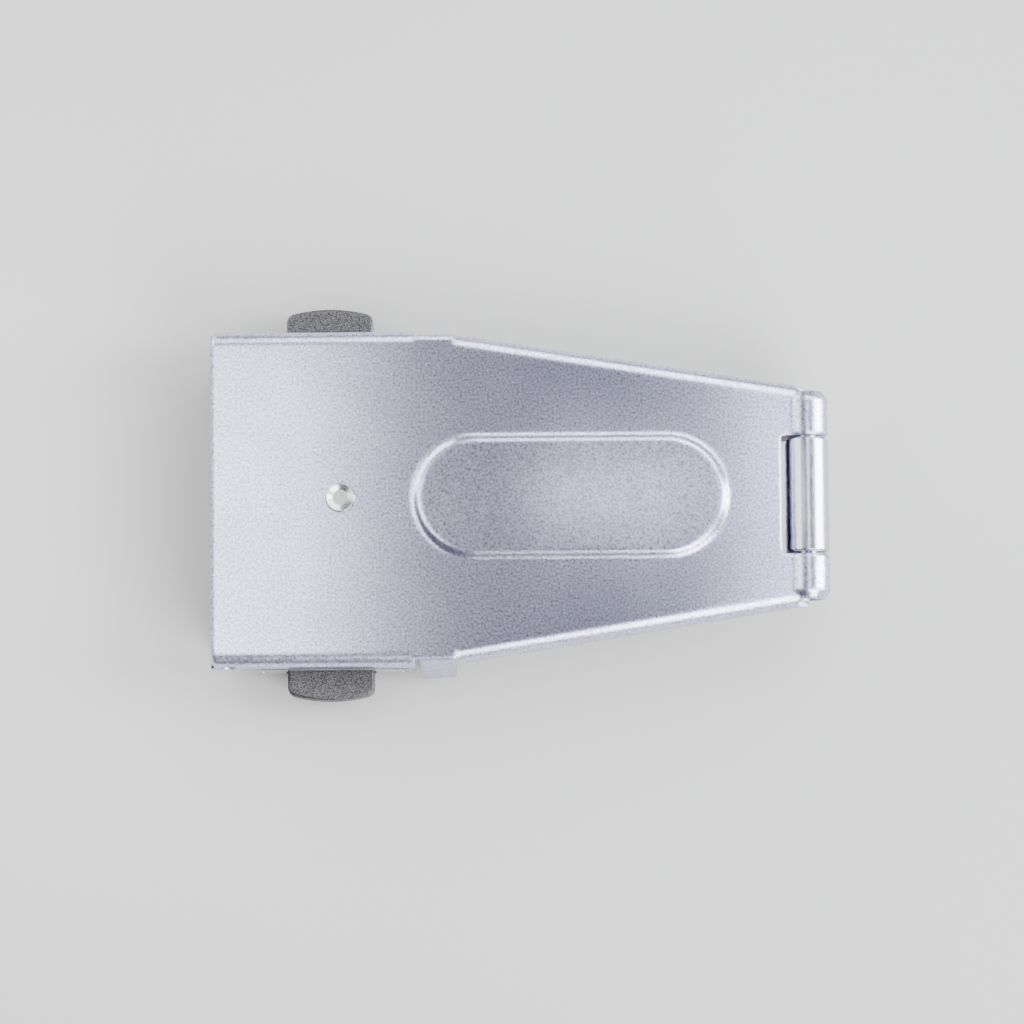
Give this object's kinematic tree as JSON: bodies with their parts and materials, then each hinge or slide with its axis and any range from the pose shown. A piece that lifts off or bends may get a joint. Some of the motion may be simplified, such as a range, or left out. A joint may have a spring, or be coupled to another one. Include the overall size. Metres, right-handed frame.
{
  "type": "folding bracelet clasp",
  "caption": "Closed fold-over bracelet clasp of three hinged leaves, with a push button on each side, a stadium boss and rolled knuckles.",
  "frame": {"origin": "middle of the closed clasp's box in X and Y, on the plane of the cover's flat outer face", "axes": "+X along the bracelet towards the hinge of the wrist plate, +Y across the bracelet, +Z towards the wrist"},
  "size_m": [0.0333, 0.0214, 0.0055],
  "materials": {
    "plate_steel": "fine bead-blasted satin stainless steel",
    "post_steel": "staked stainless steel, lightly polished",
    "button_steel": "matt grainy stainless steel, darker than the plate",
    "guard_steel": "polished stainless steel",
    "leaf_steel": "satin stainless steel with polished knuckles",
    "cover_steel": "lengthwise brushed stainless steel",
    "frame_steel": "plain pressed stainless sheet",
    "pin_steel": "drawn stainless wire",
    "spring_steel": "drawn spring wire"
  },
  "bodies": {
    "cover": {"cover_shell": "cover_steel", "cover_hinge_pin": "pin_steel", "button_frame": "frame_steel", "frame_lid": "frame_steel", "guard_pins": "pin_steel", "upper_guard": "guard_steel", "lower_guard": "guard_steel", "upper_spring": "spring_steel", "lower_spring": "spring_steel"},
    "middle_leaf": {"middle_leaf": "leaf_steel"},
    "wrist_plate": {"wrist_plate": "plate_steel", "catch_post": "post_steel", "leaf_hinge_pin": "pin_steel"},
    "upper_button": {"upper_button": "button_steel", "upper_hook": "frame_steel", "upper_hook_rivet": "pin_steel"},
    "lower_button": {"lower_button": "button_steel", "lower_hook": "frame_steel", "lower_hook_rivet": "pin_steel"}
  },
  "joints": [
    {"name": "cover_hinge", "type": "hinge", "parent": "cover", "child": "middle_leaf", "pos_m": [-0.01545, 0, 0.00178], "axis": [0, -1, 0], "range_deg": [0, 150]},
    {"name": "leaf_hinge", "type": "hinge", "parent": "middle_leaf", "child": "wrist_plate", "pos_m": [0.01552, 0, 0.00441], "axis": [0, 1, 0], "range_deg": [0, 170]},
    {"name": "upper_button_press", "type": "slide", "parent": "cover", "child": "upper_button", "axis": [0, -1, 0], "range_m": [0, 0.0009], "stiffness_N_per_m": 600, "deforming": ["upper_spring"]},
    {"name": "lower_button_press", "type": "slide", "parent": "cover", "child": "lower_button", "axis": [0, 1, 0], "range_m": [0, 0.0009], "stiffness_N_per_m": 600, "deforming": ["lower_spring"]}
  ]
}
